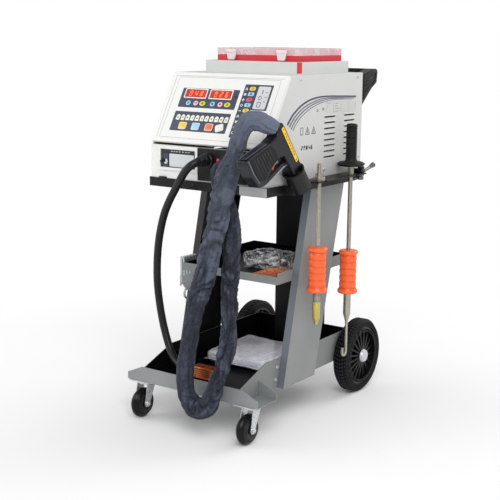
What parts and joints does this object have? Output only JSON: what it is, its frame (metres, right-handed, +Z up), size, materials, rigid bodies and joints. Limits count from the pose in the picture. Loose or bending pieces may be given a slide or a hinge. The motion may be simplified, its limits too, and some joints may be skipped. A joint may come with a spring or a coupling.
{
  "type": "dent pulling spot welder on a trolley",
  "caption": "Boxy welder with a slanted control panel on a wheeled trolley with trays, a sleeved gun cable, an earth cable and hanging slide hammers.",
  "frame": {"origin": "on the floor under the middle of the machine's bounding box, its two free cables left out", "axes": "+Z up; the control panel faces -Y and the push handle is at +Y; +X is the gun's side, to the right when facing the panel"},
  "size_m": [0.4376, 0.6906, 0.9148],
  "materials": {
    "trolley_grey": "semi-gloss grey powder coat",
    "frame_black": "semi-gloss black powder coat",
    "casing_white": "fine-textured light powder coat",
    "panel_white": "smooth white coat",
    "black_plastic": "moulded, fine grain",
    "grey_plastic": "moulded, fine grain",
    "display_red": "tinted window",
    "tyre_black": "moulded tread",
    "zinc": "bright zinc plate",
    "chrome": "polished",
    "brass": "turned",
    "copper": "worn copper",
    "orange_plastic": "moulded, satin",
    "sleeve_cloth": "woven denim, creased",
    "cable_rubber": "smooth rubber",
    "grip_rubber": "ribbed rubber",
    "red_plastic": "moulded, gloss",
    "clear_plastic": "clear sheet",
    "core_steel": "stacked laminations",
    "aluminium": "extruded fins",
    "board_green": "printed circuit board"
  },
  "bodies": {
    "frame": {"bottom_tray": "trolley_grey", "front_beam": "trolley_grey", "left_column": "trolley_grey", "right_column": "trolley_grey", "rear_upright": "frame_black", "mid_shelf": "frame_black", "top_shelf": "frame_black", "rear_axle": "zinc", "axle_ears": "frame_black", "caster_plates": "zinc", "fasteners": "zinc", "casing_cover": "casing_white", "base_pan": "panel_white", "control_fascia": "panel_white", "control_membrane": "panel_white", "rear_panel": "casing_white", "push_handle": "black_plastic", "breaker_frame": "panel_white", "breaker_body": "black_plastic", "socket_panel": "black_plastic", "output_sockets": "black_plastic", "transformer_core": "core_steel", "transformer_coil": "copper", "thyristor_stack": "aluminium", "control_board": "board_green", "top_tray": "trolley_grey", "tool_bracket": "frame_black", "gun_shell_left": "black_plastic", "gun_shell_right": "black_plastic", "gun_nose": "copper", "gun_cup": "black_plastic", "gun_boot": "grip_rubber", "gun_cable": "sleeve_cloth", "earth_cable": "cable_rubber", "earth_block": "copper"},
    "caster_swivel_left": {"caster_fork_left": "zinc"},
    "caster_roller_left": {"caster_wheel_left": "tyre_black"},
    "caster_swivel_right": {"caster_fork_right": "zinc"},
    "caster_roller_right": {"caster_wheel_right": "tyre_black"},
    "wheel_left": {"rear_tyre_left": "tyre_black", "rear_rim_left": "black_plastic"},
    "wheel_right": {"rear_tyre_right": "tyre_black", "rear_rim_right": "black_plastic"},
    "left_hammer": {"left_hammer_rod": "zinc"},
    "left_weight": {"left_hammer_weight": "orange_plastic"},
    "right_hammer": {"right_hammer_rod": "zinc", "right_hammer_grip": "grip_rubber"},
    "right_weight": {"right_hammer_weight": "orange_plastic"},
    "trigger": {"gun_trigger": "orange_plastic"},
    "toggle": {"breaker_toggle": "grey_plastic"},
    "case": {"case_base": "red_plastic"},
    "lid": {"case_lid": "clear_plastic"},
    "latch_left": {"case_latch_left": "clear_plastic"},
    "latch_right": {"case_latch_right": "clear_plastic"},
    "lever": {"clamp_lever": "zinc"},
    "claw": {"claw_puller": "zinc"},
    "studs": {"copper_studs": "copper"},
    "bag": {"parts_bag": "clear_plastic"},
    "manual": {"manual_bag": "clear_plastic"}
  },
  "joints": [
    {"name": "caster_swivel_left", "type": "hinge", "parent": "frame", "child": "caster_swivel_left", "pos_m": [-0.18175, -0.24423, 0.09], "axis": [0, 0, 1], "continuous": true},
    {"name": "caster_spin_left", "type": "hinge", "parent": "caster_swivel_left", "child": "caster_roller_left", "pos_m": [-0.18175, -0.26123, 0.0375], "axis": [1, 0, 0], "continuous": true},
    {"name": "caster_swivel_right", "type": "hinge", "parent": "frame", "child": "caster_swivel_right", "pos_m": [0.14025, -0.24423, 0.09], "axis": [0, 0, 1], "continuous": true},
    {"name": "caster_spin_right", "type": "hinge", "parent": "caster_swivel_right", "child": "caster_roller_right", "pos_m": [0.14025, -0.26123, 0.0375], "axis": [1, 0, 0], "continuous": true},
    {"name": "wheel_spin_left", "type": "hinge", "parent": "frame", "child": "wheel_left", "pos_m": [-0.18875, 0.24577, 0.0995], "axis": [1, 0, 0], "continuous": true},
    {"name": "wheel_spin_right", "type": "hinge", "parent": "frame", "child": "wheel_right", "pos_m": [0.14725, 0.24577, 0.0995], "axis": [1, 0, 0], "continuous": true},
    {"name": "left_hammer_out", "type": "slide", "parent": "frame", "child": "left_hammer", "axis": [1, 0, 0], "range_m": [0, 0.06]},
    {"name": "left_weight_slide", "type": "slide", "parent": "left_hammer", "child": "left_weight", "axis": [0, 0, 1], "range_m": [0, 0.15]},
    {"name": "right_hammer_out", "type": "slide", "parent": "frame", "child": "right_hammer", "axis": [1, 0, 0], "range_m": [0, 0.06]},
    {"name": "right_weight_slide", "type": "slide", "parent": "right_hammer", "child": "right_weight", "axis": [0, 0, 1], "range_m": [0, 0.18]},
    {"name": "trigger_pull", "type": "hinge", "parent": "frame", "child": "trigger", "pos_m": [0.17925, -0.21758, 0.68954], "axis": [1, 0, 0], "range_deg": [-12, 0], "stiffness_Nm_per_rad": 0.3},
    {"name": "toggle_throw", "type": "hinge", "parent": "frame", "child": "toggle", "pos_m": [-0.14875, -0.20023, 0.65], "axis": [1, 0, 0], "range_deg": [-32, 0]},
    {"name": "case_lift", "type": "slide", "parent": "frame", "child": "case", "axis": [0, 0, 1], "range_m": [0, 0.05]},
    {"name": "lid_hinge", "type": "hinge", "parent": "case", "child": "lid", "pos_m": [-0.02075, 0.20327, 0.89781], "axis": [1, 0, 0], "range_deg": [-100, 0]},
    {"name": "latch_turn_left", "type": "hinge", "parent": "case", "child": "latch_left", "pos_m": [-0.09575, -0.00353, 0.88481], "axis": [1, 0, 0], "range_deg": [0, 70]},
    {"name": "latch_turn_right", "type": "hinge", "parent": "case", "child": "latch_right", "pos_m": [0.05425, -0.00353, 0.88481], "axis": [1, 0, 0], "range_deg": [0, 70]},
    {"name": "lever_turn", "type": "hinge", "parent": "frame", "child": "lever", "pos_m": [0.17225, 0.17877, 0.6], "axis": [1, 0, 0], "range_deg": [-60, 0]},
    {"name": "claw_lift", "type": "slide", "parent": "frame", "child": "claw", "axis": [0, 0, 1], "range_m": [0, 0.06]},
    {"name": "studs_lift", "type": "slide", "parent": "frame", "child": "studs", "axis": [0, 0, 1], "range_m": [0, 0.1]},
    {"name": "bag_lift", "type": "slide", "parent": "frame", "child": "bag", "axis": [0, 0, 1], "range_m": [0, 0.1]},
    {"name": "manual_lift", "type": "slide", "parent": "frame", "child": "manual", "axis": [0, 0, 1], "range_m": [0, 0.15]}
  ]
}
